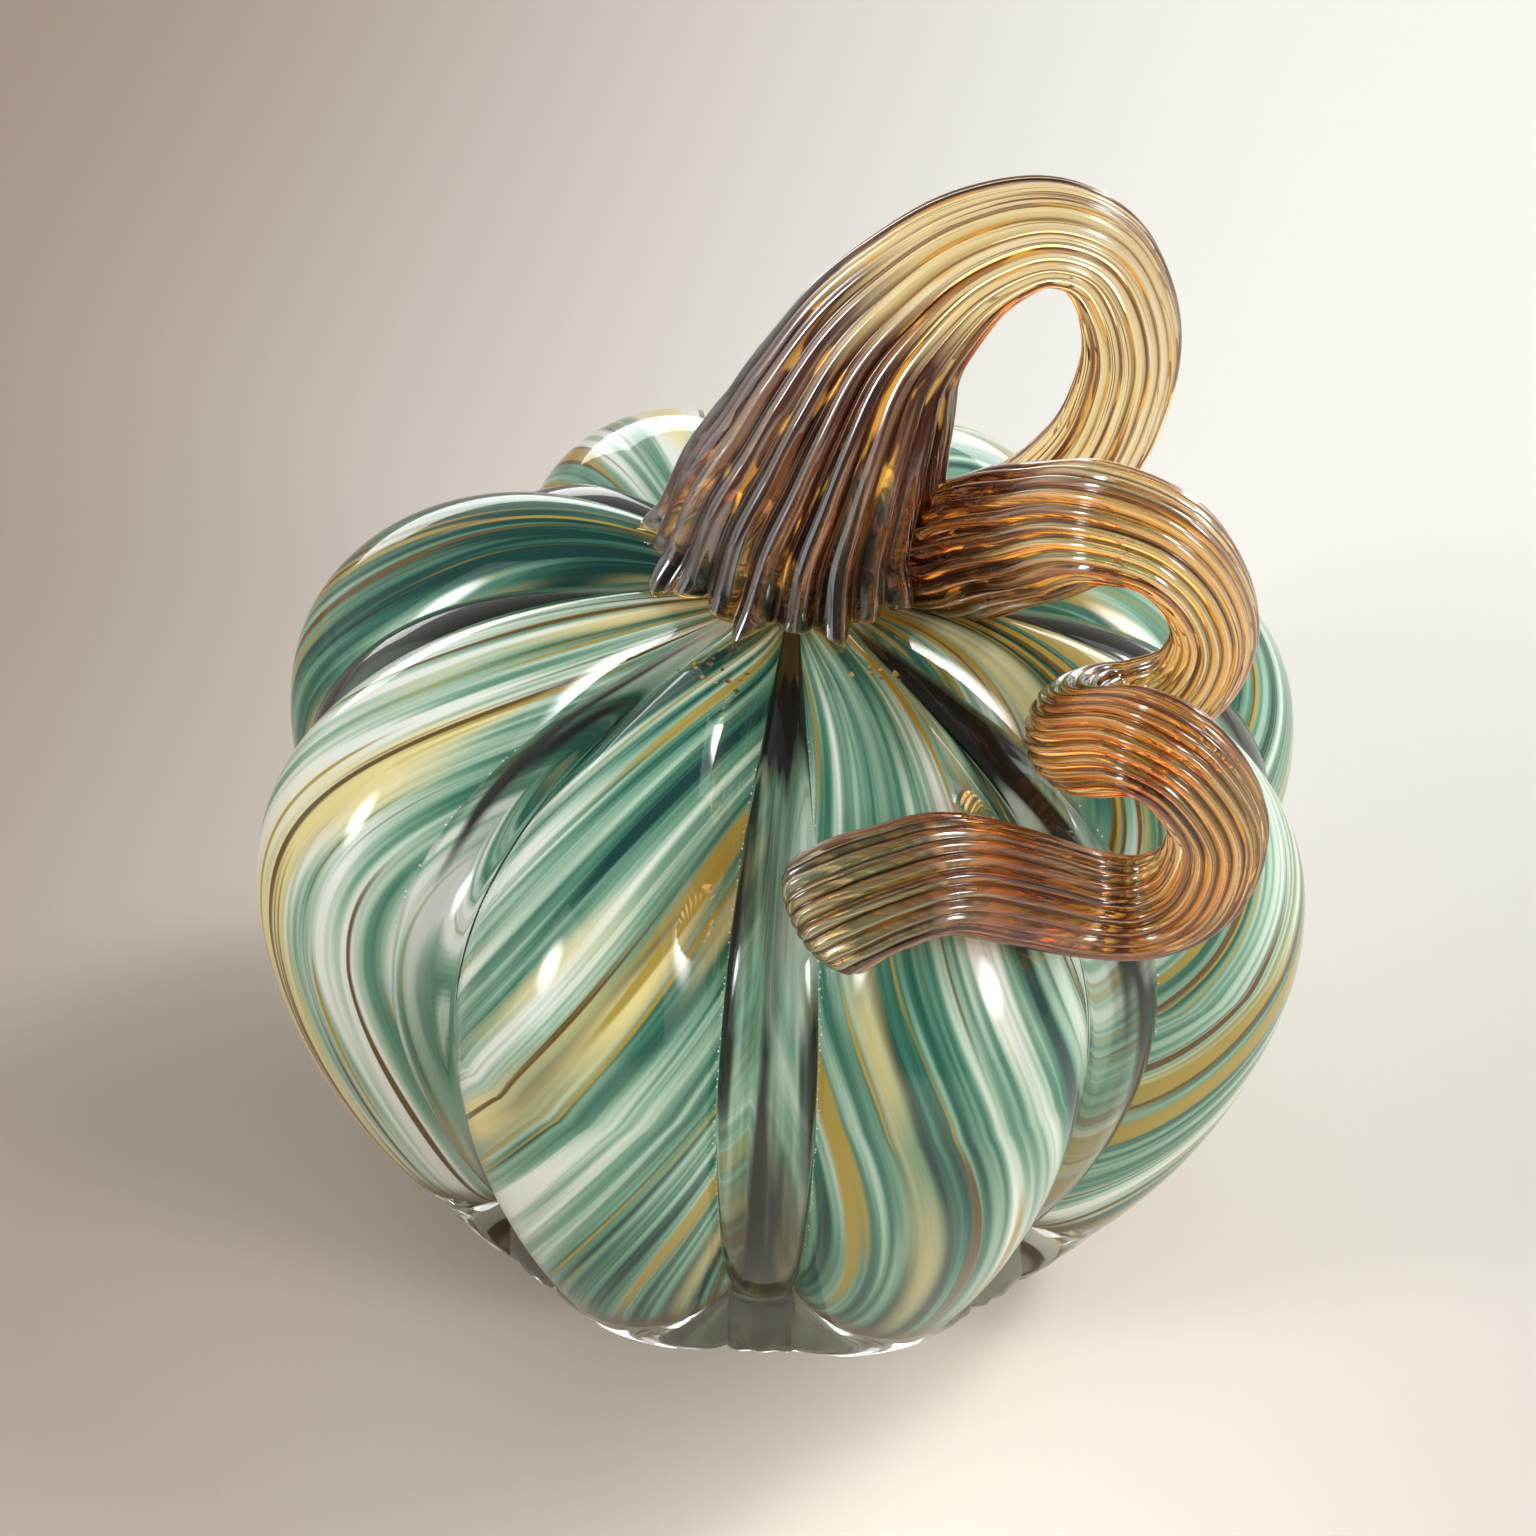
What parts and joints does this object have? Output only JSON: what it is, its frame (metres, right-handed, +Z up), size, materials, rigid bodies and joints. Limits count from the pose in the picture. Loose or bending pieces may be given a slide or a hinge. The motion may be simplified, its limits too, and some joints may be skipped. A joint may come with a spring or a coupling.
{
  "type": "glass pumpkin",
  "caption": "Lobed blown-glass pumpkin ornament with streaked colour under clear casing, a ribbed amber stem pulled into a loop, and a wound amber tendril.",
  "frame": {"origin": "middle of the flat underside, on the body's axis", "axes": "+Z up along the body's axis, -Y towards the viewer of the picture, +X towards the side where the tendril hangs"},
  "size_m": [0.1438, 0.1475, 0.1608],
  "materials": {
    "clear_glass": "fire-polished clear glass, smooth and glossy",
    "colour_glass": "opaque twisted streaks of teal, dark green, white and amber glass",
    "inner_glass": "clear glass, inside the colour and not seen",
    "amber_glass": "ribbed amber glass, dark brown where thick and honey where thin"
  },
  "bodies": {
    "root": {"clear_casing": "clear_glass", "colour_layer": "colour_glass", "core_bubble": "inner_glass", "stem_trunk": "amber_glass", "stem_loop": "amber_glass", "tendril_upper_turn": "amber_glass", "tendril_lower_turn": "amber_glass", "tendril_tail": "amber_glass"}
  },
  "joints": []
}
